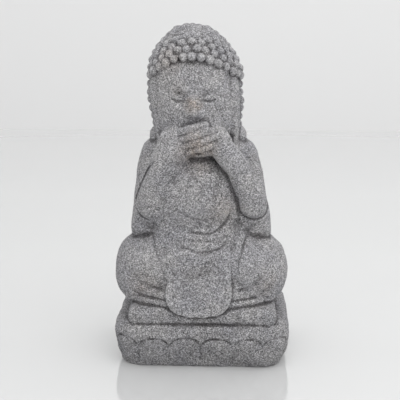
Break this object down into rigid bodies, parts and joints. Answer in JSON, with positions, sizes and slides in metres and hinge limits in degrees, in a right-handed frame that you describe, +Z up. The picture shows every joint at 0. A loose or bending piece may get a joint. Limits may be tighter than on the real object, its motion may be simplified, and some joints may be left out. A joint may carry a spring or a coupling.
{
  "type": "seated buddha statue",
  "caption": "Seated stone buddha with both hands over the mouth, on a cushion and a lotus plinth; solid, free-standing, with a flat underside.",
  "frame": {"origin": "centre of the flat underside of the plinth", "axes": "+Z up, the figure faces -Y, its left hand side is +X"},
  "size_m": [0.211, 0.156, 0.4],
  "materials": {
    "granite_body": "matte, speckled grey granite, chiselled and rubbed",
    "granite_base": "matte, speckled grey granite, a little darker and rougher",
    "granite_skin": "matte granite, rubbed smoother, with faint brown iron stain",
    "granite_hair": "matte granite, darker from the shadows between the curls"
  },
  "bodies": {
    "root": {"plinth_block": "granite_base", "lotus_petal_band": "granite_base", "seat_cushion": "granite_base", "robe_apron": "granite_body", "right_hem_fold": "granite_body", "left_hem_fold": "granite_body", "right_shin": "granite_body", "left_shin": "granite_body", "robe_lap": "granite_body", "right_finger_1": "granite_skin", "right_finger_2": "granite_skin", "right_finger_3": "granite_skin", "right_finger_4": "granite_skin", "right_hand": "granite_skin", "left_hand": "granite_skin", "right_forearm": "granite_body", "left_forearm": "granite_body", "right_sleeve_panel": "granite_body", "left_sleeve_panel": "granite_body", "waist_fold": "granite_body", "right_ear": "granite_skin", "left_ear": "granite_skin", "head": "granite_skin", "robe_mantle": "granite_body", "right_upper_arm": "granite_body", "left_upper_arm": "granite_body", "torso": "granite_body", "right_knee": "granite_body", "left_knee": "granite_body", "crossed_legs": "granite_body", "robe_collar": "granite_body", "hair_cap": "granite_hair", "curl_row_01": "granite_hair", "curl_row_02": "granite_hair", "curl_row_03": "granite_hair", "curl_row_04": "granite_hair", "curl_row_05": "granite_hair", "curl_row_06": "granite_hair", "curl_row_07": "granite_hair", "curl_row_08": "granite_hair", "curl_row_09": "granite_hair", "curl_row_10": "granite_hair", "curl_row_11": "granite_hair", "curl_row_12": "granite_hair", "crown_curl": "granite_hair"}
  },
  "joints": []
}
